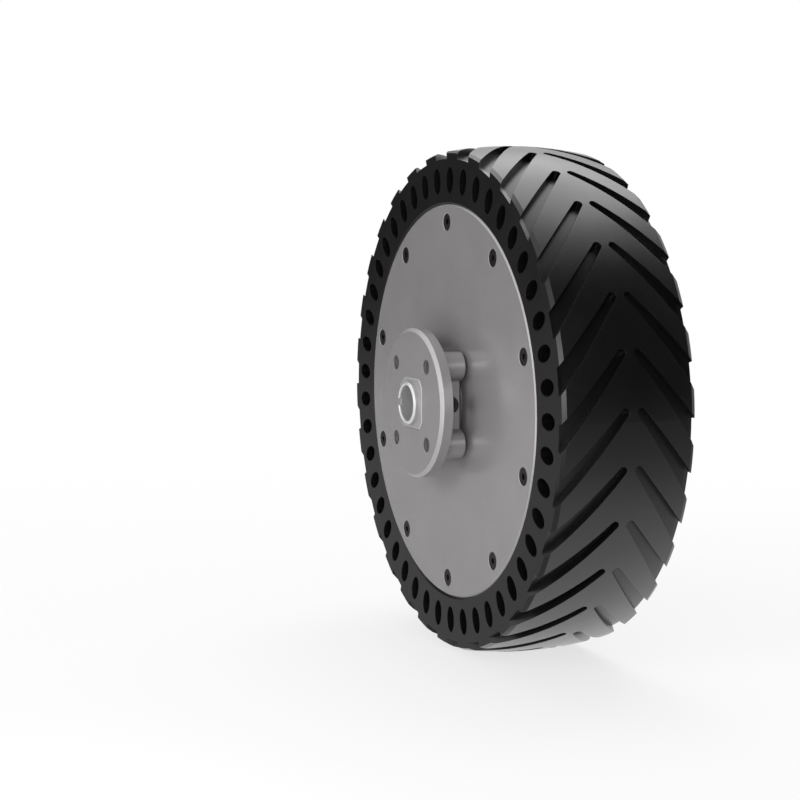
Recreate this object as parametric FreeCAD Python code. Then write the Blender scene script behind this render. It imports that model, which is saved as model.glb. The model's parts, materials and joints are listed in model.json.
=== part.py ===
import FreeCAD, Part
import os
from math import atan2, cos, degrees, pi, radians, sin, sqrt, tan

# Hub motor wheel, in millimetres.
# The axle lies along Y. The mounting flange's face is at y = 0 and faces -Y, and +Z is up.
# Clock angles count from the top, towards +X.

# Tyre
tread_r = 88.9
tyre_depth = 20.05
tyre_width = 47.5
crown_drop = 1.9
shoulder_bevel_width = 1.4
shoulder_bevel_drop = 0.8
tyre_bore_chamfer = 0.5

# Chevron grooves: each runs from a rounded tip beside the mid-plane out to a shoulder
chevron_count = 30
chevron_phase_deg = 4.05
groove_sweep_deg = 16.45
groove_depth = 2.7
groove_tip_gap = 1.35
groove_tip_width = 2.95
groove_mouth_width = 5.65

# Oval holes through the sidewalls
sidewall_hole_count = 45
sidewall_hole_phase_deg = 2.0
sidewall_hole_height = 8.15
sidewall_hole_length = 9.1
sidewall_hole_width = 5.6

# Mounting flange and its clover neck
bolt_circle_r = 18.8
bolt_count = 4
bolt_hole_r = 2.5
bolt_edge_distance = 7.2
flange_thickness = 4.45
flange_chamfer = 1.1
neck_lobe_r = 5.1
neck_flat_offset = 0.18
neck_length = 7.9
grub_hole_r = 2.85
grub_end_distance = 3.12
grub_sink = 0.3
grub_socket_width = 3.0
grub_socket_depth = 2.0

# Axle
axle_bore_r = 6.2
axle_bore_chamfer = 0.3
axle_bore_spare_depth = 4.1
nose_wall = 1.25
nose_length = 2.0
nose_chamfer = 0.6
nose_notch_width = 2.4
nose_notch_depth = 1.0
axle_end_r = 11.1
axle_end_half_width = 9.35
axle_end_half_height = 8.8
axle_end_chamfer = 0.4
axle_tail_chamfer = 0.5
wire_hole_r = 2.4
carrier_seat_step = 1.5
carrier_collar_step = 3.0
carrier_collar_length = 1.75
rear_land_step = 1.6

# Deep-groove ball bearings
front_bearing_bore_r = 12.5
rear_bearing_bore_r = 10.0
bearing_section = 6.0
bearing_width = 7.0
race_thickness = 1.95
ball_r = 1.75
front_ball_count = 13
rear_ball_count = 11
cage_thickness = 1.1
cage_width = 4.8

# Cover and its screws
cover_gap = 1.35
cover_thickness = 4.0
cover_front_wall = 2.0
cover_chamfer = 0.6
cover_boss_wall = 4.0
spigot_length = 3.5
spigot_wall = 3.0
screw_count = 10
screw_edge_distance = 6.35
screw_r = 1.5
screw_length = 10.0
screw_head_r = 3.0
screw_head_sink = 0.15
screw_socket_width = 2.0
screw_socket_depth = 1.1
screw_hole_spare_depth = 1.5

# Seals and circlips
shaft_seal_section = 3.5
shaft_seal_width = 2.7
shaft_seal_wall = 1.2
seal_ring_section = 1.4
seal_ring_inset = 1.1
front_circlip_thickness = 1.0
carrier_circlip_thickness = 1.2
circlip_height = 1.7
circlip_groove_depth = 0.8
circlip_gap = 4.0

# Rotor shell
shell_wall = 9.85
back_wall = 3.0
dish_depth = 1.5
dish_rim = 8.85
dish_boss_wall = 6.5
shell_chamfer = 0.8
rear_boss_wall = 4.5
axle_tail_room = 1.0

# Magnet ring
back_iron_thickness = 4.0
back_iron_overhang = 3.0
magnet_count = 40
magnet_thickness = 3.0
magnet_overhang = 2.0
magnet_share = 0.9

# Stator
air_gap = 0.7
slot_count = 36
stator_end_room = 9.75
core_depth = 17.3
core_yoke = 4.6
tooth_tip_height = 1.2
tooth_tip_flare = 0.9
slot_opening = 2.4
carrier_rim = 3.5
carrier_hub_wall = 5.0
carrier_hub_length = 14.0
carrier_web = 6.0
carrier_hole_count = 6
carrier_hole_edge = 0.9
key_width = 6.0
key_height = 6.0
key_end_room = 1.0
key_depth = 3.5

# Windings, insulators and sensor board
insulator_thickness = 1.0
insulator_collar = 4.0
coil_thickness = 1.3
coil_side_gap = 0.46
coil_end_height = 3.4
coil_corner_r = 1.2
coil_top_gap = 0.6
coils_in_row = 3
phases = "abc"
board_thickness = 1.6
board_gap = 0.6
hall_count = 3
hall_spacing_slots = 2
hall_size_radial = 1.5
hall_size_around = 4.0
hall_size_axial = 4.5
board_screw_count = 3
board_screw_r = 1.0
board_screw_length = 5.0
board_screw_head_r = 1.9
board_screw_head_height = 1.3

# Clearances
slip_fit = 0.03
ball_clearance = 0.06
cage_pocket_gap = 0.15
spigot_fit = 0.05
cover_edge_gap = 0.15
lip_clearance = 0.06
running_gap = 0.3
screw_clearance = 0.2
key_top_gap = 0.2
coil_liner = 0.15

# Places along the axle that follow from the sizes above
flange_length = flange_thickness + neck_length
cover_face_y = flange_length + cover_gap
tyre_back_y = cover_face_y + tyre_width
tyre_mid_y = cover_face_y + tyre_width / 2
shell_front_y = cover_face_y + cover_thickness
seal_front_y = cover_face_y + cover_front_wall
seal_back_y = seal_front_y + shaft_seal_width
front_circlip_y = seal_back_y + running_gap
front_bearing_y = front_circlip_y + front_circlip_thickness
front_bearing_back_y = front_bearing_y + bearing_width
dish_y = tyre_back_y - dish_depth
shell_inner_back_y = dish_y - back_wall
rear_bearing_back_y = shell_inner_back_y
rear_bearing_y = rear_bearing_back_y - bearing_width
stator_mid_y = (shell_front_y + shell_inner_back_y) / 2
stack_front_y = shell_front_y + stator_end_room
stack_back_y = shell_inner_back_y - stator_end_room
stack_length = stack_back_y - stack_front_y
back_iron_length = stack_length + 2 * back_iron_overhang
magnet_length = stack_length + 2 * magnet_overhang
carrier_hub_y = stack_back_y - carrier_hub_length
carrier_circlip_y = carrier_hub_y - carrier_circlip_thickness
wire_hole_y = (front_bearing_back_y + carrier_circlip_y) / 2
axle_bore_end_y = wire_hole_y + wire_hole_r + axle_bore_spare_depth
collar_back_y = stack_back_y + carrier_collar_length
axle_tail_y = rear_bearing_back_y - slip_fit
coil_half_length = stack_length / 2 + insulator_thickness + coil_end_height
board_back_y = stator_mid_y - coil_half_length - board_gap
board_front_y = board_back_y - board_thickness
grub_y = flange_length - grub_end_distance

# Radii that follow from the sizes above
rim_r = tread_r - tyre_depth
shoulder_r = tread_r - crown_drop
sidewall_r = shoulder_r - shoulder_bevel_drop
groove_mouth_r = shoulder_r - groove_depth
sidewall_hole_ring_r = rim_r + sidewall_hole_height
cover_r = rim_r - cover_edge_gap
screw_circle_r = rim_r - screw_edge_distance
dish_outer_r = rim_r - dish_rim
shell_bore_r = rim_r - shell_wall
back_iron_r = shell_bore_r - back_iron_thickness
magnet_r = back_iron_r - magnet_thickness
core_r = magnet_r - air_gap
core_bore_r = core_r - core_depth
core_root_r = core_bore_r + core_yoke
tooth_neck_r = core_r - tooth_tip_height - tooth_tip_flare
collar_r = core_bore_r + insulator_collar + slip_fit
coil_inner_r = collar_r + coil_top_gap
coil_outer_r = tooth_neck_r - coil_top_gap
coil_half_width = coil_inner_r * tan(pi / slot_count) - coil_side_gap / 2
tooth_width = 2 * (coil_half_width - coil_thickness - coil_liner)
flange_r = bolt_circle_r + bolt_edge_distance
neck_half_width = bolt_circle_r * cos(pi / bolt_count) + neck_flat_offset
nose_r = axle_bore_r + nose_wall
front_bearing_outer_r = front_bearing_bore_r + bearing_section
rear_bearing_outer_r = rear_bearing_bore_r + bearing_section
shaft_seal_r = front_bearing_bore_r + shaft_seal_section
dish_boss_r = rear_bearing_outer_r + dish_boss_wall
carrier_seat_r = front_bearing_bore_r + carrier_seat_step
carrier_collar_r = carrier_seat_r + carrier_collar_step
rear_land_r = rear_bearing_bore_r + rear_land_step
carrier_hub_r = carrier_seat_r + carrier_hub_wall
board_screw_ring_r = core_bore_r + insulator_collar / 2
board_r = core_r - running_gap

origin = FreeCAD.Vector(0, 0, 0)
axis = FreeCAD.Vector(0, 1, 0)
up = FreeCAD.Vector(0, 0, 1)


def at(x, y, z):
    return FreeCAD.Vector(x, y, z)


# Shared shapes

def outward(solid):
    """The same solid with its faces pointing out."""
    if solid.Volume < 0:
        solid.reverse()
    return solid


def turned(points):
    """A solid of revolution about the axle, from (radius, y) points."""
    corners = [at(r, y, 0) for r, y in points]
    outline = Part.makePolygon(corners + corners[:1])
    return outward(Part.Face(outline).revolve(origin, axis, 360))


def ring(inner_r, outer_r, front_y, back_y):
    return turned([(inner_r, front_y), (outer_r, front_y), (outer_r, back_y), (inner_r, back_y)])


def rod(radius, front_y, back_y, x=0.0, z=0.0):
    """A cylinder along the axle's direction."""
    return Part.makeCylinder(radius, back_y - front_y, at(x, front_y, z), axis)


def block(x0, x1, y0, y1, z0, z1):
    return Part.makeBox(x1 - x0, y1 - y0, z1 - z0, at(x0, y0, z0))


def around(shape, count, first_deg=0.0):
    """Copies of a shape, evenly spaced round the axle."""
    return [shape.rotated(origin, axis, first_deg + 360.0 * i / count) for i in range(count)]


def plate(outline_edges, front_y, back_y):
    """A flat outline drawn at y = 0, made into a plate between two places along the axle."""
    face = Part.Face(Part.Wire(outline_edges))
    face.translate(at(0, front_y, 0))
    return outward(face.extrude(at(0, back_y - front_y, 0)))


def line(a, b):
    return Part.LineSegment(a, b).toShape()


def arc(a, middle, b):
    return Part.Arc(a, middle, b).toShape()


def on_circle(radius, clock_deg):
    return at(radius * sin(radians(clock_deg)), 0, radius * cos(radians(clock_deg)))


def hexagon(width, direction, base, depth):
    """A hexagon socket as wide across its flats as given, sunk from base along direction."""
    corners = [at(cos(i * pi / 3), sin(i * pi / 3), 0) * (width / sqrt(3)) for i in range(7)]
    prism = Part.Face(Part.makePolygon(corners)).extrude(up * depth)
    turn = FreeCAD.Rotation(up, direction)
    prism.Placement = FreeCAD.Placement(base, turn)
    return outward(prism)


def save(node, shapes):
    """Write one node's solids to its own file."""
    solids = [solid for shape in shapes for solid in shape.Solids]
    Part.makeCompound(solids).exportStep("parts/" + node + ".step")


# Tyre

def crowned(points, inset=0.0):
    """A solid of revolution under the tread's crown, set in by inset. The points close it, back to front."""
    back = (shoulder_r - inset, tyre_back_y - shoulder_bevel_width)
    front = (shoulder_r - inset, cover_face_y + shoulder_bevel_width)
    corners = [at(r, y, 0) for r, y in [back] + points + [front]]
    edges = [line(a, b) for a, b in zip(corners, corners[1:])]
    edges.append(arc(corners[-1], at(tread_r - inset, tyre_mid_y, 0), corners[0]))
    return outward(Part.Face(Part.Wire(edges)).revolve(origin, axis, 360))


def groove_cutter():
    """One groove of the front half, as the solid that is cut out of the tyre at the top."""
    swing = tread_r * radians(groove_sweep_deg)
    tip_y = tyre_mid_y - groove_tip_gap - groove_tip_width / 2
    run = at(swing, cover_face_y - tip_y, 0)
    along = run / run.Length
    across = at(-along.y, along.x, 0)
    tip = at(-swing / 2, tip_y, 0)
    overrun = groove_mouth_width
    mouth = tip + along * (run.Length + overrun)
    growth = (groove_mouth_width - groove_tip_width) / run.Length
    tip_half = across * (groove_tip_width / 2)
    mouth_half = across * ((groove_mouth_width + growth * overrun) / 2)
    outline = Part.Wire([
        line(tip + tip_half, mouth + mouth_half),
        line(mouth + mouth_half, mouth - mouth_half),
        line(mouth - mouth_half, tip - tip_half),
        arc(tip - tip_half, tip - along * (groove_tip_width / 2), tip + tip_half),
    ])
    face = Part.Face(outline)
    bottom = groove_mouth_r * cos(radians(groove_sweep_deg))
    face.translate(up * bottom)
    prism = outward(face.extrude(up * (tread_r + groove_depth - bottom)))
    front_y = cover_face_y - tyre_width
    floor = crowned([(groove_mouth_r, tyre_back_y), (0, tyre_back_y), (0, front_y),
                     (groove_mouth_r, front_y)], groove_depth)
    return prism.cut(floor)


def tyre():
    chamfer = tyre_bore_chamfer
    body = crowned([
        (sidewall_r, tyre_back_y),
        (rim_r + chamfer, tyre_back_y),
        (rim_r, tyre_back_y - chamfer),
        (rim_r, cover_face_y + chamfer),
        (rim_r + chamfer, cover_face_y),
        (sidewall_r, cover_face_y),
    ])

    # The groove's middle, not its tip, is at the top when it is cut
    front_groove = groove_cutter()
    back_groove = front_groove.mirror(at(0, tyre_mid_y, 0), axis)
    first = chevron_phase_deg + groove_sweep_deg / 2
    grooves = around(front_groove, chevron_count, first) + around(back_groove, chevron_count, first)

    oval = Part.Ellipse(on_circle(sidewall_hole_ring_r + sidewall_hole_length / 2, 0),
                        at(sidewall_hole_width / 2, 0, sidewall_hole_ring_r),
                        at(0, 0, sidewall_hole_ring_r))
    hole = plate([oval.toShape()], cover_face_y, tyre_back_y)
    holes = around(hole, sidewall_hole_count, sidewall_hole_phase_deg)
    return body.cut(grooves + holes)


# Mounting flange and axle

def four_flat_bar(front_y, back_y, clearance=0.0):
    """The round bar with four flats at the axle's end, or with a clearance the hole for it."""
    half_width = axle_end_half_width + clearance
    half_height = axle_end_half_height + clearance
    square = block(-half_width, half_width, front_y, back_y, -half_height, half_height)
    return rod(axle_end_r + clearance, front_y, back_y).common(square)


def bolt_places():
    first_deg = 180.0 / bolt_count
    return [on_circle(bolt_circle_r, first_deg + 360.0 * i / bolt_count) for i in range(bolt_count)]


def mounting_flange():
    inset = flange_r - flange_chamfer
    disc = turned([(0, 0), (inset, 0), (flange_r, flange_chamfer), (flange_r, flange_thickness),
                   (0, flange_thickness)])
    half = neck_half_width
    neck = block(-half, half, flange_thickness, flange_length, -half, half)
    lobes = [rod(neck_lobe_r, flange_thickness, flange_length, p.x, p.z) for p in bolt_places()]
    body = disc.fuse([neck] + lobes).removeSplitter()
    holes = [rod(bolt_hole_r, 0, flange_length, p.x, p.z) for p in bolt_places()]
    seat = four_flat_bar(0, flange_length, slip_fit)
    grub_hole = Part.makeCylinder(grub_hole_r, 2 * half, at(-half, grub_y, 0), at(1, 0, 0))
    return body.cut(holes + [seat, grub_hole])


def flange_grub_screws():
    start = axle_end_half_width + slip_fit
    end = neck_half_width - grub_sink
    screw = Part.makeCylinder(grub_hole_r, end - start, at(start, grub_y, 0), at(1, 0, 0))
    socket = hexagon(grub_socket_width, at(-1, 0, 0), at(end, grub_y, 0), grub_socket_depth)
    return around(screw.cut(socket), 2)


def axle():
    bore_r = axle_bore_r
    seat_r = front_bearing_bore_r
    tail_r = rear_bearing_bore_r
    front_groove_r = seat_r - circlip_groove_depth
    carrier_groove_r = carrier_seat_r - circlip_groove_depth
    body = turned([
        (0, cover_face_y),
        (seat_r, cover_face_y),
        (seat_r, front_circlip_y),
        (front_groove_r, front_circlip_y),
        (front_groove_r, front_bearing_y),
        (seat_r, front_bearing_y),
        (seat_r, front_bearing_back_y),
        (carrier_seat_r, front_bearing_back_y),
        (carrier_seat_r, carrier_circlip_y),
        (carrier_groove_r, carrier_circlip_y),
        (carrier_groove_r, carrier_hub_y),
        (carrier_seat_r, carrier_hub_y),
        (carrier_seat_r, stack_back_y),
        (carrier_collar_r, stack_back_y),
        (carrier_collar_r, collar_back_y),
        (rear_land_r, collar_back_y),
        (rear_land_r, rear_bearing_y),
        (tail_r, rear_bearing_y),
        (tail_r, axle_tail_y - axle_tail_chamfer),
        (tail_r - axle_tail_chamfer, axle_tail_y),
        (0, axle_tail_y),
    ])
    end = four_flat_bar(0, cover_face_y)
    rim = [e for e in end.Edges if e.BoundBox.YMax < axle_end_chamfer]
    end = end.makeChamfer(axle_end_chamfer, rim)
    nose = turned([(0, -nose_length), (nose_r - nose_chamfer, -nose_length),
                   (nose_r, nose_chamfer - nose_length), (nose_r, 0), (0, 0)])
    whole = body.fuse([end, nose]).removeSplitter()

    bore = turned([(0, -nose_length), (bore_r + axle_bore_chamfer, -nose_length),
                   (bore_r, axle_bore_chamfer - nose_length), (bore_r, axle_bore_end_y),
                   (0, axle_bore_end_y)])
    notch_half = nose_notch_width / 2
    notch = block(-nose_r, 0, -nose_length, nose_notch_depth - nose_length, -notch_half, notch_half)
    wire_hole = Part.makeCylinder(wire_hole_r, carrier_seat_r, at(0, wire_hole_y, 0), at(0, 0, -1))
    return whole.cut([bore, notch, wire_hole, key_block()])


# Bearings, seals and circlips

def bearing(bore_r, front_y, ball_count):
    """Inner ring, outer ring, balls and a one-piece cage with a drilled pocket for each ball."""
    back_y = front_y + bearing_width
    middle_y = front_y + bearing_width / 2
    outer_r = bore_r + bearing_section
    pitch_r = (bore_r + outer_r) / 2
    raceway = Part.makeTorus(pitch_r, ball_r + ball_clearance, at(0, middle_y, 0), axis)
    inner = ring(bore_r, bore_r + race_thickness, front_y, back_y).cut(raceway)
    outer = ring(outer_r - race_thickness, outer_r, front_y, back_y).cut(raceway)
    centre = at(0, middle_y, pitch_r)
    balls = around(Part.makeSphere(ball_r, centre), ball_count)
    pocket = Part.makeCylinder(ball_r + cage_pocket_gap, outer_r, at(0, middle_y, 0), up)
    cage = ring(pitch_r - cage_thickness / 2, pitch_r + cage_thickness / 2,
                middle_y - cage_width / 2, middle_y + cage_width / 2)
    return {"inner": [inner], "outer": [outer], "balls": balls,
            "cage": [cage.cut(around(pocket, ball_count))]}


def shaft_seal():
    """A lip seal: a ring in the cover, with a lip that leans back to the axle."""
    body_r = shaft_seal_r - shaft_seal_wall
    lip_r = front_bearing_bore_r + lip_clearance
    web_y = seal_front_y + shaft_seal_wall
    return turned([
        (shaft_seal_r, seal_front_y), (shaft_seal_r, seal_back_y), (body_r, seal_back_y),
        (body_r, web_y), (lip_r, seal_back_y), (lip_r, web_y), (body_r, seal_front_y),
    ])


def circlip(shaft_r, front_y, thickness):
    inner_r = shaft_r - circlip_groove_depth
    outer_r = shaft_r + circlip_height
    gap = block(-circlip_gap / 2, circlip_gap / 2, front_y, front_y + thickness, 0, outer_r)
    return ring(inner_r, outer_r, front_y, front_y + thickness).cut(gap)


def cover_seal_ring():
    front_y = shell_front_y + seal_ring_inset
    return ring(shell_bore_r - seal_ring_section, shell_bore_r, front_y, front_y + seal_ring_section)


# Cover and shell

def cover_screw():
    """One countersunk socket screw, at the top of the screw circle."""
    top_y = cover_face_y + screw_head_sink
    head_height = screw_head_r - screw_r
    end_y = top_y + screw_length
    head = Part.makeCone(screw_head_r, screw_r, head_height, at(0, top_y, screw_circle_r), axis)
    shank = rod(screw_r, top_y + head_height, end_y, 0, screw_circle_r)
    socket = hexagon(screw_socket_width, axis, at(0, top_y, screw_circle_r), screw_socket_depth)
    return head.fuse(shank).removeSplitter().cut(socket)


def cover_screw_hole():
    hole_r = screw_r + screw_clearance
    mouth_r = screw_head_r + screw_head_sink
    sink = Part.makeCone(mouth_r, hole_r, mouth_r - hole_r, at(0, cover_face_y, screw_circle_r), axis)
    return sink.fuse(rod(hole_r, cover_face_y, shell_front_y, 0, screw_circle_r))


def front_cover():
    hole_r = front_bearing_bore_r + running_gap
    boss_r = front_bearing_outer_r + cover_boss_wall
    spigot_r = shell_bore_r - spigot_fit
    spigot_y = shell_front_y + spigot_length
    groove_r = shell_bore_r - seal_ring_section
    groove_y = shell_front_y + seal_ring_inset
    groove_back_y = groove_y + seal_ring_section
    body = turned([
        (hole_r, cover_face_y), (cover_r - cover_chamfer, cover_face_y),
        (cover_r, cover_face_y + cover_chamfer), (cover_r, shell_front_y), (spigot_r, shell_front_y),
        (spigot_r, groove_y), (groove_r, groove_y), (groove_r, groove_back_y), (spigot_r, groove_back_y),
        (spigot_r, spigot_y), (spigot_r - spigot_wall, spigot_y), (spigot_r - spigot_wall, shell_front_y),
        (boss_r, shell_front_y), (boss_r, front_bearing_back_y),
        (front_bearing_outer_r, front_bearing_back_y), (front_bearing_outer_r, front_bearing_y),
        (shaft_seal_r, front_bearing_y), (shaft_seal_r, seal_front_y), (hole_r, seal_front_y),
    ])
    return body.cut(around(cover_screw_hole(), screw_count))


def rotor_shell():
    iron_back_y = stator_mid_y + back_iron_length / 2
    inner_r = back_iron_r
    boss_r = rear_bearing_outer_r + rear_boss_wall
    room_r = rear_bearing_outer_r - race_thickness
    body = turned([
        (rim_r, shell_front_y), (rim_r, tyre_back_y - shell_chamfer), (rim_r - shell_chamfer, tyre_back_y),
        (dish_outer_r, tyre_back_y), (dish_outer_r - dish_depth, dish_y),
        (dish_boss_r + dish_depth, dish_y), (dish_boss_r, tyre_back_y), (0, tyre_back_y),
        (0, rear_bearing_back_y + axle_tail_room), (room_r, rear_bearing_back_y + axle_tail_room),
        (room_r, rear_bearing_back_y), (rear_bearing_outer_r, rear_bearing_back_y),
        (rear_bearing_outer_r, rear_bearing_y), (boss_r, rear_bearing_y), (boss_r, shell_inner_back_y),
        (inner_r, shell_inner_back_y), (inner_r, iron_back_y), (shell_bore_r, iron_back_y),
        (shell_bore_r, shell_front_y),
    ])
    hole_end_y = cover_face_y + screw_head_sink + screw_length + screw_hole_spare_depth
    hole = rod(screw_r, shell_front_y, hole_end_y, 0, screw_circle_r)
    return body.cut(around(hole, screw_count))


# Magnet ring

def back_iron():
    half = back_iron_length / 2
    return ring(back_iron_r, shell_bore_r, stator_mid_y - half, stator_mid_y + half)


def magnets():
    half_deg = 180.0 / magnet_count * magnet_share
    inner = [on_circle(magnet_r, a) for a in (-half_deg, 0, half_deg)]
    outer = [on_circle(back_iron_r, a) for a in (-half_deg, 0, half_deg)]
    edges = [arc(*inner), line(inner[2], outer[2]), arc(*reversed(outer)), line(outer[0], inner[0])]
    half = magnet_length / 2
    return around(plate(edges, stator_mid_y - half, stator_mid_y + half), magnet_count)


# Stator

def stator_core():
    half = tooth_width / 2
    tip_half_deg = 180.0 / slot_count - degrees(atan2(slot_opening / 2, core_r))
    corner = on_circle(core_r, tip_half_deg)
    shoe_z = corner.z - tooth_tip_height
    side = [at(half, 0, core_root_r - core_yoke / 2), at(half, 0, tooth_neck_r),
            at(corner.x, 0, shoe_z), corner]
    other = [at(-p.x, 0, p.z) for p in side]
    edges = [line(a, b) for a, b in zip(side, side[1:])]
    edges.append(arc(corner, at(0, 0, core_r), other[3]))
    edges += [line(a, b) for a, b in zip(other[::-1], other[-2::-1])]
    edges.append(line(other[0], side[0]))
    tooth = plate(edges, stack_front_y, stack_back_y)
    yoke = ring(core_bore_r, core_root_r, stack_front_y, stack_back_y)
    return yoke.fuse(around(tooth, slot_count)).removeSplitter()


def insulator(face_y, end_y):
    """A moulded end piece: fingers along the teeth, and a collar that stands out to end_y."""
    out = 1 if end_y > face_y else -1
    top_y = face_y + out * insulator_thickness
    finger = block(-tooth_width / 2, tooth_width / 2, min(face_y, top_y), max(face_y, top_y),
                   collar_r - insulator_collar / 2, tooth_neck_r)
    collar = ring(core_bore_r + slip_fit, collar_r, min(face_y, end_y), max(face_y, end_y))
    return collar.fuse(around(finger, slot_count)).removeSplitter()


def board_screw_places():
    return [on_circle(board_screw_ring_r, 360.0 * i / board_screw_count) for i in range(board_screw_count)]


def front_insulator():
    body = insulator(stack_front_y, board_back_y)
    depth_y = board_front_y + board_screw_length
    holes = [rod(board_screw_r, board_back_y, depth_y, p.x, p.z) for p in board_screw_places()]
    return body.cut(holes)


def coils():
    """One coil on each tooth: a rounded frame wound over the tooth and its insulators."""
    inner_x = coil_half_width - coil_thickness
    inner_y = stack_length / 2 + insulator_thickness
    outer_x = coil_half_width
    outer_y = coil_half_length
    window = block(-inner_x, inner_x, stator_mid_y - inner_y, stator_mid_y + inner_y,
                   coil_inner_r, coil_outer_r)
    frame = block(-outer_x, outer_x, stator_mid_y - outer_y, stator_mid_y + outer_y,
                  coil_inner_r, coil_outer_r)
    corners = [e for e in frame.Edges if abs(e.tangentAt(e.FirstParameter).z) > 0.5]
    coil = frame.makeFillet(coil_corner_r, corners).cut(window)
    return around(coil, slot_count)


def key_block():
    """The key, which lies half in the top of the axle and half in the carrier."""
    bottom = carrier_seat_r - key_depth
    return block(-key_width / 2, key_width / 2, carrier_hub_y + key_end_room, stack_back_y - key_end_room,
                 bottom, bottom + key_height)


def stator_carrier():
    rim_inner_r = core_bore_r - carrier_rim
    web_y = stack_back_y - carrier_web
    body = turned([
        (carrier_seat_r, carrier_hub_y), (carrier_hub_r, carrier_hub_y), (carrier_hub_r, web_y),
        (rim_inner_r, web_y), (rim_inner_r, stack_front_y), (core_bore_r, stack_front_y),
        (core_bore_r, stack_back_y), (carrier_seat_r, stack_back_y),
    ])
    hole_ring_r = (carrier_hub_r + rim_inner_r) / 2
    hole_r = (rim_inner_r - carrier_hub_r) / 2 - carrier_hole_edge
    hole = rod(hole_r, web_y, stack_back_y, 0, hole_ring_r)
    keyway_top = carrier_seat_r - key_depth + key_height + key_top_gap
    keyway = block(-key_width / 2, key_width / 2, carrier_hub_y, stack_back_y, 0, keyway_top)
    return body.cut(around(hole, carrier_hole_count, 180.0 / carrier_hole_count) + [keyway])


# Sensor board

def hall_board():
    body = ring(core_bore_r + slip_fit, board_r, board_front_y, board_back_y)
    holes = [rod(board_screw_r, board_front_y, board_back_y, p.x, p.z) for p in board_screw_places()]
    return body.cut(holes)


def hall_sensors():
    half = hall_size_around / 2
    outer = sqrt(board_r ** 2 - half ** 2)
    body = block(-half, half, board_back_y, board_back_y + hall_size_axial, outer - hall_size_radial, outer)
    step_deg = 360.0 / slot_count * hall_spacing_slots
    first_deg = 180.0 + 180.0 / slot_count
    return [body.rotated(origin, axis, first_deg + step_deg * i) for i in range(hall_count)]


def board_screws():
    screws = []
    for p in board_screw_places():
        head = rod(board_screw_head_r, board_front_y - board_screw_head_height, board_front_y, p.x, p.z)
        shank = rod(board_screw_r, board_front_y, board_front_y + board_screw_length, p.x, p.z)
        screws.append(head.fuse(shank).removeSplitter())
    return screws


os.makedirs("parts", exist_ok=True)

save("tyre", [tyre()])
save("rotor_shell", [rotor_shell()])
save("front_cover", [front_cover()])
save("cover_screws", around(cover_screw(), screw_count))
save("cover_seal_ring", [cover_seal_ring()])
save("shaft_seal", [shaft_seal()])
save("back_iron", [back_iron()])
save("magnets", magnets())
save("mounting_flange", [mounting_flange()])
save("flange_grub_screws", flange_grub_screws())
save("axle", [axle()])
front_bearing = bearing(front_bearing_bore_r, front_bearing_y, front_ball_count)
rear_bearing = bearing(rear_bearing_bore_r, rear_bearing_y, rear_ball_count)
for piece in front_bearing:
    save("front_bearing_" + piece, front_bearing[piece])
    save("rear_bearing_" + piece, rear_bearing[piece])
save("front_circlip", [circlip(front_bearing_bore_r, front_circlip_y, front_circlip_thickness)])
save("carrier_circlip", [circlip(carrier_seat_r, carrier_circlip_y, carrier_circlip_thickness)])
save("stator_carrier", [stator_carrier()])
save("carrier_key", [key_block()])
save("stator_core", [stator_core()])
save("front_insulator", [front_insulator()])
save("rear_insulator", [insulator(stack_back_y, stator_mid_y + coil_half_length)])
all_coils = coils()
for number, phase in enumerate(phases):
    own = [c for i, c in enumerate(all_coils) if i // coils_in_row % len(phases) == number]
    save("coils_phase_" + phase, own)
save("hall_board", [hall_board()])
save("hall_sensors", hall_sensors())
save("board_screws", board_screws())
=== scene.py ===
import json
from math import cos, pi, radians

import bpy
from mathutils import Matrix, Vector

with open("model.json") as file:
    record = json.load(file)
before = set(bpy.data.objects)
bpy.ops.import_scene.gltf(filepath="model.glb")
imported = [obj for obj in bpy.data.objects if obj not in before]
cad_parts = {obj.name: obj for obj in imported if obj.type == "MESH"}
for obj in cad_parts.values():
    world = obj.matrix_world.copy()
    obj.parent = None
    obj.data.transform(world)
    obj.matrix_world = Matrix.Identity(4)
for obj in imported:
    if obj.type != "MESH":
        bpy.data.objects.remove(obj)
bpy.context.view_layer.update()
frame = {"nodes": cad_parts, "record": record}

# The part's own sizes that the finishes and the studio follow, in metres
mm = 0.001
tread_r = 88.9 * mm
tyre_width = 47.5 * mm
crown_drop = 1.9 * mm
shoulder_bevel_width = 1.4 * mm
groove_depth = 2.7 * mm
cover_r = 68.7 * mm
cover_chamfer = 0.6 * mm
cover_face_y = 13.7 * mm
flange_r = 26.0 * mm
flange_chamfer = 1.1 * mm
bolt_circle_r = 18.8 * mm
bolt_hole_r = 2.5 * mm
grub_hole_r = 2.85 * mm
grub_y = 9.23 * mm
nose_r = 7.45 * mm
nose_length = 2.0 * mm
nose_chamfer = 0.6 * mm
axle_end_chamfer = 0.4 * mm

# Sizes that only the finishes have
groove_lip = 0.2 * mm
thread_pitch = 1.0 * mm
sheet_thickness = 0.5 * mm
wire_pitch = 0.62 * mm
track_pitch = 1.6 * mm
cut_slack = 0.02 * mm
face_slack = 0.01 * mm
hole_margin = 1.03

# Worked out from these
tyre_mid_y = cover_face_y + tyre_width / 2
tread_half_width = tyre_width / 2 - shoulder_bevel_width
cover_cut = cover_r - cover_chamfer - cover_face_y
flange_cut = flange_r - flange_chamfer
bolt_place = bolt_circle_r * cos(radians(45))
nose_land_y = nose_chamfer - nose_length
floor_z = -tread_r
wheel_middle = Vector((0.0, tyre_mid_y, 0.0))


# Shader maths

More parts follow.
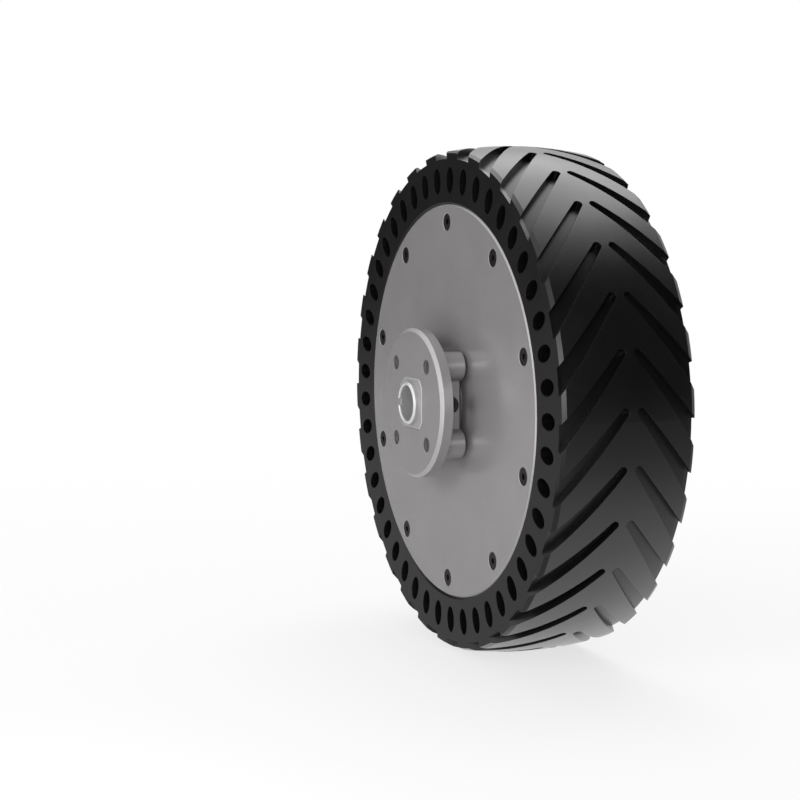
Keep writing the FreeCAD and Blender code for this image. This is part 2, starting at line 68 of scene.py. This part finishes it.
class Wire:
    """A socket in one node tree. Arithmetic on it adds Math nodes to that tree."""

    def __init__(self, tree, socket=None):
        self.tree = tree
        self.socket = socket

    def node(self, kind, settings=None, inputs=None, output=0):
        """Adds any node: its settings first, then the values or links of its sockets."""
        made = self.tree.nodes.new(kind)
        for name, value in (settings or {}).items():
            setattr(made, name, value)
        for name, value in (inputs or {}).items():
            if isinstance(value, Wire):
                self.tree.links.new(value.socket, made.inputs[name])
            else:
                made.inputs[name].default_value = value
        return Wire(self.tree, made.outputs[output] if made.outputs else None)

    def maths(self, operation, *values):
        return self.node("ShaderNodeMath", {"operation": operation}, dict(enumerate(values)))

    def __add__(self, other):
        return self.maths("ADD", self, other)

    def __radd__(self, other):
        return self.maths("ADD", other, self)

    def __sub__(self, other):
        return self.maths("SUBTRACT", self, other)

    def __rsub__(self, other):
        return self.maths("SUBTRACT", other, self)

    def __mul__(self, other):
        return self.maths("MULTIPLY", self, other)

    def __rmul__(self, other):
        return self.maths("MULTIPLY", other, self)

    def __truediv__(self, other):
        return self.maths("DIVIDE", self, other)

    def __lt__(self, other):
        return self.maths("LESS_THAN", self, other)

    def __gt__(self, other):
        return self.maths("GREATER_THAN", self, other)

    def __abs__(self):
        return self.maths("ABSOLUTE", self)


def shade(red, green, blue):
    return (red, green, blue, 1.0)


def grey(value):
    return shade(value, value, value)


def anodised(value):
    """The aluminium's grey, a little warm."""
    return shade(value * 1.02, value * 0.985, value)


def mixed(factor, first, second):
    """A colour between two, by a factor that changes over the surface."""
    return factor.node("ShaderNodeMix", {"data_type": "RGBA"}, {0: factor, 6: first, 7: second}, 2)


def noise(place, scale, detail=2.0, roughness=0.5):
    return place.node("ShaderNodeTexNoise", {},
                      {"Vector": place, "Scale": scale, "Detail": detail, "Roughness": roughness})


def limits(value, low, high, to_low=0.0, to_high=1.0):
    """A value brought from one range into another, and kept there."""
    return value.node("ShaderNodeMapRange", {"clamp": True},
                      {0: value, 1: low, 2: high, 3: to_low, 4: to_high})


def spread(pattern, to_low=0.0, to_high=1.0):
    """A noise, which mostly keeps between 0.3 and 0.7, brought into another range."""
    return limits(pattern, 0.3, 0.7, to_low, to_high)


def bare_material(name):
    """A new material with nothing in it yet."""
    material = bpy.data.materials.new(name)
    material.use_nodes = True
    material.node_tree.nodes.clear()
    return material


class Finish:
    """A material, with the places on the wheel that its patterns follow."""

    def __init__(self, name, edge_radius):
        self.material = bare_material(name)
        self.tree = Wire(self.material.node_tree)
        self.place = self.tree.node("ShaderNodeTexCoord", output="Object")
        self.x = self.tree.node("ShaderNodeSeparateXYZ", {}, {"Vector": self.place}, "X")
        self.y = self.tree.node("ShaderNodeSeparateXYZ", {}, {"Vector": self.place}, "Y")
        self.z = self.tree.node("ShaderNodeSeparateXYZ", {}, {"Vector": self.place}, "Z")
        self.radius = self.distance(self.x, self.z)
        self.soft_normal = self.tree.node("ShaderNodeBevel", {"samples": 6}, {"Radius": edge_radius})

    def distance(self, one, other):
        """How far a point is from a line, by two ways across it."""
        return self.tree.maths("SQRT", one * one + other * other)

    def edges(self):
        """1 along outer and inner edges, 0 on open faces."""
        flat = self.tree.node("ShaderNodeNewGeometry", output="True Normal")
        facing = self.tree.node("ShaderNodeVectorMath", {"operation": "DOT_PRODUCT"},
                                {0: self.soft_normal, 1: flat}, "Value")
        return limits(1 - facing, 0.01, 0.2)

    def below_tread(self):
        """1 down in the tread's grooves and in the holes under it, 0 on the tread and the sidewalls: where
        the rubber's painted shade goes.
        """
        off_middle = abs(self.y - tyre_mid_y)
        share = off_middle / tread_half_width
        depth = tread_r - share * share * crown_drop - self.radius
        return limits(depth, groove_lip, groove_depth) * (off_middle < tread_half_width)

    def turning(self, pitch):
        """Fine uneven rings, as a lathe tool leaves them."""
        rings = self.tree.node("ShaderNodeCombineXYZ", {}, {0: self.radius / pitch, 1: self.y / pitch})
        return noise(rings, scale=1.0, detail=3.0, roughness=0.6)

    def ripple(self, count):
        """From 0 up to 1 and down again in each step of a count."""
        return self.tree.maths("PINGPONG", count, 0.5) * 2

    def own_share(self, count):
        """A share from 0 to 1 that each whole step of a count has for itself."""
        step = self.tree.maths("FLOOR", count)
        return self.tree.node("ShaderNodeTexWhiteNoise", {"noise_dimensions": "1D"}, {"W": step}, "Value")

    def thread(self, across, up, along):
        """The height of a thread in a tapped hole: the two ways across the hole, and the way along it."""
        turn = self.tree.maths("ARCTAN2", up, across) / (2 * pi)
        return self.ripple(along / thread_pitch + turn)

    def tapped_holes(self):
        """1 in the flange's bolt holes and grub-screw holes, and the height of the threads there."""
        away_x = abs(self.x) - bolt_place
        away_z = abs(self.z) - bolt_place
        away_y = self.y - grub_y
        in_bolt = self.distance(away_x, away_z) < bolt_hole_r * hole_margin
        in_grub = (self.distance(away_y, self.z) < grub_hole_r * hole_margin) * (1 - in_bolt)
        bolt_thread = self.thread(away_x, away_z, self.y)
        grub_thread = self.thread(away_y, self.z, self.x)
        return in_bolt + in_grub, in_bolt * bolt_thread + in_grub * grub_thread

    def close(self, colour, roughness, height, depth, metal=0.0, constants=None, painted_shade=None):
        """Ends the material. What varies is linked, and the constants are set on the shader itself."""
        normal = self.tree.node("ShaderNodeBump", {}, {"Strength": 1.0, "Distance": depth,
                                                       "Height": height, "Normal": self.soft_normal})
        sockets = {"Base Color": colour, "Roughness": roughness, "Metallic": metal, "Normal": normal}
        sockets.update(constants or {})
        surface = self.tree.node("ShaderNodeBsdfPrincipled", {}, sockets)
        # Painted shade: where the factor is over 0, a barely glossy copy of the shader is mixed in, so those
        # places look darker.
        if painted_shade is not None:
            shaded_sockets = {"Base Color": colour, "Roughness": 0.9, "Specular IOR Level": 0.05, "Normal": normal}
            shaded_surface = self.tree.node("ShaderNodeBsdfPrincipled", {}, shaded_sockets)
            surface = self.tree.node("ShaderNodeMixShader", {}, {0: painted_shade, 1: surface, 2: shaded_surface})
        self.tree.node("ShaderNodeOutputMaterial", {}, {"Surface": surface})
        return self.material


# Finishes

def moulded_rubber():
    """Black tyre rubber: a smooth moulded skin with a fine grain, with painted shade down in its grooves and
    holes, where a duller, barely glossy shader is mixed in.
    """
    groove_painted_shade = 0.3
    f = Finish("moulded_rubber", edge_radius=0.12 * mm)
    cloud = noise(f.place, scale=40.0, detail=3.0)
    grain = noise(f.place, scale=2400.0)
    colour = mixed(cloud, grey(0.002), grey(0.004))
    roughness = spread(cloud, 0.30, 0.36) + (grain - 0.5) * 0.08
    # Painted shade in the grooves and in the holes under the tread.
    return f.close(colour, roughness, grain, 0.010 * mm,
                   constants={"IOR": 1.55}, painted_shade=f.below_tread() * groove_painted_shade)


def blasted_aluminium(name, value, rough, cut_from, cut_and_highlight_value, tapped=False):
    """Aluminium, fine blasted and anodised grey, with a chamfer machined bright through the anodising where
    radius - y tops out, and lightened further as a painted highlight.
    """
    worn_edge = 1.9
    thread_height = 15.0
    f = Finish(name, edge_radius=0.25 * mm)
    cloud = noise(f.place, scale=60.0, detail=4.0)
    grain = noise(f.place, scale=5200.0)
    lathe = f.turning(0.35 * mm)
    # Partly painted highlight: the chamfer is bright bare metal, and its colour is raised further to stand
    # for its highlight.
    cut_and_highlight = (f.radius - f.y) > cut_from - cut_slack
    cut_and_highlight_colour = mixed(lathe, anodised(cut_and_highlight_value * 0.88), anodised(cut_and_highlight_value * 1.12))
    colour = mixed(spread(cloud), anodised(value * 0.97), anodised(value * 1.03))
    colour = mixed(f.edges() * 0.5, colour, anodised(value * worn_edge))
    colour = mixed(cut_and_highlight, colour, cut_and_highlight_colour)
    roughness = spread(cloud, rough - 0.01, rough + 0.01)
    roughness = roughness + (grain - 0.5) * 0.10 + (lathe - 0.5) * 0.05 + cut_and_highlight * 0.12
    height = grain * 0.5 + lathe * 0.5
    if tapped:
        in_hole, thread = f.tapped_holes()
        height = height + thread * thread_height
        # Painted shade: the walls of the tapped holes are coloured darker than the face.
        colour = mixed(in_hole * 0.6, colour, grey(value * 0.6))
    return f.close(colour, roughness, height, 0.006 * mm, metal=0.45)


def axle_chamfer_highlight(f):
    """1 on the axle's mouth and on the chamfers round its four flats, where a painted highlight goes."""
    on_chamfer = (f.y > face_slack) * (f.y < axle_end_chamfer) * (f.radius > nose_r)
    return (f.y < nose_land_y) + on_chamfer


def turned_metal(name, dark, light, rough, pitch, edge=0.2, depth=0.008, metal=1.0, cut_and_highlight=None):
    """Metal straight from the lathe or grinder: uneven fine rings round the axle's line, sizes in mm."""
    f = Finish(name, edge * mm)
    lathe = f.turning(pitch * mm)
    cloud = noise(f.place, scale=90.0, detail=3.0)
    colour = mixed(spread(lathe * 0.6 + cloud * 0.4), dark, light)
    colour = mixed(f.edges() * 0.35, colour, grey(0.7))
    # Painted highlight: the marked chamfers, when given, are coloured almost white.
    if cut_and_highlight:
        colour = mixed(cut_and_highlight(f), colour, grey(0.74))
    roughness = limits(lathe, 0.25, 0.75, rough - 0.07, rough + 0.07)
    return f.close(colour, roughness, lathe, depth * mm, metal)


def dark_steel(name, value, rough):
    """Oxide-blacked or phosphated steel, with bare metal starting to show along its edges."""
    f = Finish(name, edge_radius=0.12 * mm)
    blotch = noise(f.place, scale=700.0, detail=4.0)
    grain = noise(f.place, scale=6000.0)
    colour = mixed(spread(blotch), grey(value * 0.7), grey(value * 1.3))
    colour = mixed(f.edges() * limits(blotch, 0.35, 0.65) * 0.5, colour, grey(0.25))
    roughness = spread(blotch, rough - 0.08, rough + 0.08)
    return f.close(colour, roughness, grain, 0.004 * mm, metal=1.0)


def plated_magnet():
    """Nickel plating over pressed magnet, slightly cloudy."""
    f = Finish("plated_magnet", edge_radius=0.2 * mm)
    cloud = noise(f.place, scale=300.0, detail=4.0)
    colour = mixed(spread(cloud), shade(0.46, 0.45, 0.44), shade(0.60, 0.59, 0.57))
    return f.close(colour, spread(cloud, 0.18, 0.32), cloud, 0.01 * mm, metal=1.0)


def stacked_sheet():
    """Electrical steel sheets on top of each other, each with its own sheen."""
    f = Finish("stacked_sheet", edge_radius=0.1 * mm)
    count = f.y / sheet_thickness
    across = f.ripple(count)
    burr = noise(f.place, scale=1800.0, detail=3.0)
    sheen = f.own_share(count) * 0.6 + burr * 0.4
    joint = limits(across, 0.0, 0.2, 1.0, 0.0)
    colour = mixed(sheen, shade(0.13, 0.135, 0.15), shade(0.24, 0.24, 0.25))
    colour = mixed(joint * 0.8, colour, grey(0.03))
    return f.close(colour, spread(burr, 0.32, 0.5), across + burr * 0.3, 0.03 * mm, metal=1.0)


def moulded_plastic(name, dark, light, rough, scale):
    """Injection-moulded or machined plastic with a fine grain and soft colour drift."""
    f = Finish(name, edge_radius=0.25 * mm)
    cloud = noise(f.place, scale, detail=4.0)
    grain = noise(f.place, scale=4200.0)
    colour = mixed(spread(cloud), dark, light)
    return f.close(colour, spread(grain, rough - 0.06, rough + 0.06), grain, 0.01 * mm)


def enamelled_wire():
    """Copper winding: wires side by side under a thin coat of enamel."""
    f = Finish("enamelled_wire", edge_radius=0.1 * mm)
    count = f.radius / wire_pitch
    across = f.ripple(count)
    drift = noise(f.place, scale=220.0, detail=3.0)
    copper = f.own_share(count) * 0.5 + drift * 0.5
    gap = limits(across, 0.0, 0.3, 1.0, 0.0)
    colour = mixed(copper, shade(0.40, 0.13, 0.04), shade(0.68, 0.29, 0.11))
    colour = mixed(gap * 0.8, colour, shade(0.05, 0.015, 0.006))
    return f.close(colour, spread(drift, 0.24, 0.36), f.tree.maths("SQRT", across), 0.2 * mm, metal=0.85,
                   constants={"Coat Weight": 0.5, "Coat Roughness": 0.1})


def circuit_board():
    """Green solder mask over ring-shaped tracks, with the glass weave showing faintly."""
    f = Finish("circuit_board", edge_radius=0.1 * mm)
    track = limits(f.ripple(f.radius / track_pitch), 0.45, 0.55)
    weave = noise(f.place, scale=1500.0)
    colour = mixed(track, shade(0.006, 0.07, 0.03), shade(0.012, 0.13, 0.05))
    colour = mixed(limits(weave, 0.4, 0.7) * 0.25, colour, shade(0.03, 0.20, 0.09))
    return f.close(colour, spread(weave, 0.22, 0.32), track + weave * 0.2, 0.03 * mm)


finishes = {
    "tyre_rubber": moulded_rubber(),
    "cover_aluminium": blasted_aluminium(
        "cover_aluminium", value=0.355, rough=0.23, cut_from=cover_cut, cut_and_highlight_value=0.43),
    "flange_aluminium": blasted_aluminium(
        "flange_aluminium", value=0.335, rough=0.34, cut_from=flange_cut, cut_and_highlight_value=0.47, tapped=True),
    "shell_aluminium": turned_metal("shell_aluminium", grey(0.24), grey(0.28), rough=0.32, pitch=0.3),
    "carrier_aluminium": turned_metal("carrier_aluminium", grey(0.46), grey(0.58), rough=0.30, pitch=0.25),
    "axle_steel": turned_metal(
        "axle_steel", grey(0.40), grey(0.46), rough=0.32, pitch=0.15, depth=0.004, metal=0.4, cut_and_highlight=axle_chamfer_highlight),
    "bearing_steel": turned_metal(
        "bearing_steel", grey(0.52), grey(0.62), rough=0.16, pitch=0.1, edge=0.1, depth=0.002),
    "iron": turned_metal("turned_iron", grey(0.17), grey(0.25), rough=0.40, pitch=0.3),
    "black_screw": dark_steel("black_screw", value=0.06, rough=0.40),
    "spring_steel": dark_steel("spring_steel", value=0.11, rough=0.45),
    "magnet_plating": plated_magnet(),
    "lamination": stacked_sheet(),
    "insulator_nylon": moulded_plastic(
        "insulator_nylon", shade(0.56, 0.54, 0.46), shade(0.66, 0.64, 0.57), rough=0.45, scale=120.0),
    "cage_phenolic": moulded_plastic(
        "cage_phenolic", shade(0.20, 0.10, 0.035), shade(0.36, 0.20, 0.08), rough=0.5, scale=1500.0),
    "chip_black": moulded_plastic("chip_black", grey(0.012), grey(0.02), rough=0.55, scale=800.0),
    "seal_rubber": moulded_plastic("seal_rubber", grey(0.010), grey(0.018), rough=0.6, scale=300.0),
    "winding": enamelled_wire(),
    "board": circuit_board(),
}

for part in frame["record"]["subparts"]:
    mesh = frame["nodes"][part["node"]].data
    mesh.materials.clear()
    mesh.materials.append(finishes[part["material_slot"]])


# Studio: lengths in metres, power in watts

floor_size = 24.0
shadow_inner_r = 0.15
shadow_outer_r = 0.55
shadow_white = 0.72
glow_inner_r = 0.08
glow_outer_r = 0.26
left_card_place = (-1.163, -0.334, 0.20)
right_card_place = (0.82, 0.42, 0.27)
lying_flat = (0.0, 0.0, 0.0)
foot_card_z = floor_z + 1 * mm
left_floor_card_z = floor_z + 2 * mm
low_fill_z = floor_z + 15 * mm
camera_place = (0.59379, -0.25303, 0.06092)
camera_turn_deg = (84.699, 0.257, 67.2344)
camera_lens_mm = 83.965
camera_sensor_mm = 36.0


def white_to_sight(tree, camera_share=1.0):
    """1 for what a reflection or a glass sees, a share for the camera, 0 for light on surfaces."""
    camera = tree.node("ShaderNodeLightPath", output="Is Camera Ray")
    glossy = tree.node("ShaderNodeLightPath", output="Is Glossy Ray")
    through = tree.node("ShaderNodeLightPath", output="Is Transmission Ray")
    return tree.maths("MINIMUM", camera * camera_share + glossy + through, 1.0)


def from_middle(tree):
    """How far a point is from the middle of its plane."""
    place = tree.node("ShaderNodeTexCoord", output="Object")
    return tree.node("ShaderNodeVectorMath", {"operation": "LENGTH"}, {0: place}, "Value")


def plain_plane(name, place, turn, size):
    """A flat square with a bare material of its own."""
    bpy.ops.object.select_all(action="DESELECT")
    bpy.ops.mesh.primitive_plane_add(size=size, location=place, rotation=turn)
    plane = bpy.context.object
    plane.name = name
    plane.data.materials.append(bare_material(name))
    return plane


def studio_floor():
    """A white floor that keeps a soft shadow near the wheel and runs out to plain white."""
    floor = plain_plane("studio_floor", (0.0, 0.0, floor_z), lying_flat, floor_size)
    tree = Wire(floor.active_material.node_tree)
    camera_share = limits(from_middle(tree), shadow_inner_r, shadow_outer_r, shadow_white, 1.0)
    lit = tree.node("ShaderNodeBsdfDiffuse", {}, {"Color": grey(0.9)})
    plain = tree.node("ShaderNodeEmission", {}, {"Color": grey(1.0), "Strength": 1.0})
    surface = tree.node("ShaderNodeMixShader", {}, {0: white_to_sight(tree, camera_share), 1: lit, 2: plain})
    tree.node("ShaderNodeOutputMaterial", {}, {"Surface": surface})


def studio_world(fill):
    """Plain white all round to the eye and in reflections, and a soft fill of light on surfaces."""
    world = bpy.data.worlds.new("studio_world")
    world.use_nodes = True
    world.node_tree.nodes.clear()
    tree = Wire(world.node_tree)
    plain = tree.node("ShaderNodeBackground", {}, {"Color": grey(1.0), "Strength": 1.0})
    soft = tree.node("ShaderNodeBackground", {}, {"Color": grey(1.0), "Strength": fill})
    surface = tree.node("ShaderNodeMixShader", {}, {0: white_to_sight(tree), 1: soft, 2: plain})
    tree.node("ShaderNodeOutputWorld", {}, {"Surface": surface})
    bpy.context.scene.world = world


def towards_wheel(place):
    """The turn that points a lamp or a card from its place at the wheel."""
    return (wheel_middle - Vector(place)).to_track_quat("-Z", "Y").to_euler()


def soft_box(name, place, size, power, mirrored=True):
    """A square lamp, turned towards the wheel. One that isn't mirrored shows in no reflection."""
    lamp = bpy.data.lights.new(name, "AREA")
    lamp.size = size
    lamp.energy = power
    box = bpy.data.objects.new(name, lamp)
    bpy.context.scene.collection.objects.link(box)
    box.location = place
    box.rotation_euler = towards_wheel(place)
    box.visible_camera = False
    box.visible_glossy = mirrored


def reflection_card(name, place, turn, size, value, outer_value=None):
    """A card that only reflections see, to shape them. Its glow may change from the middle out."""
    card = plain_plane(name, place, turn, size)
    tree = Wire(card.active_material.node_tree)
    glow = grey(value)
    if outer_value is not None:
        glow = mixed(limits(from_middle(tree), glow_inner_r, glow_outer_r), glow, grey(outer_value))
    surface = tree.node("ShaderNodeEmission", {}, {"Color": glow, "Strength": 1.0})
    tree.node("ShaderNodeOutputMaterial", {}, {"Surface": surface})
    card.visible_camera = False
    card.visible_diffuse = False
    card.visible_shadow = False


def photo_camera():
    """The photograph's viewpoint: the camera's place, its turn and its lens."""
    lens = bpy.data.cameras.new("photo_camera")
    lens.sensor_width = camera_sensor_mm
    lens.lens = camera_lens_mm
    camera = bpy.data.objects.new("photo_camera", lens)
    bpy.context.scene.collection.objects.link(camera)
    camera.location = camera_place
    camera.rotation_euler = [radians(turn) for turn in camera_turn_deg]
    bpy.context.scene.camera = camera


studio_floor()
studio_world(fill=0.45)
soft_box("key_light", place=(0.35, -1.05, 0.42), size=0.5, power=5.0, mirrored=False)
soft_box("top_light", place=(-0.44, 0.37, 1.01), size=1.05, power=7.9)
soft_box("near_fill", place=(1.00, -0.60, 0.25), size=0.6, power=4.4)
soft_box("low_fill", place=(0.14, -0.16, low_fill_z), size=0.10, power=0.05)
reflection_card("left_card", left_card_place, towards_wheel(left_card_place), size=1.4, value=0.04)
reflection_card("left_floor_card", (-0.37, -0.6165, left_floor_card_z), lying_flat, size=1.26, value=0.36)
reflection_card("foot_card", (0.0, tyre_mid_y, foot_card_z), lying_flat,
                size=2.4, value=1.36, outer_value=0.36)
reflection_card("right_card", right_card_place, towards_wheel(right_card_place), size=1.88, value=0.01)
photo_camera()

view = bpy.context.scene.view_settings
view.view_transform = "Standard"
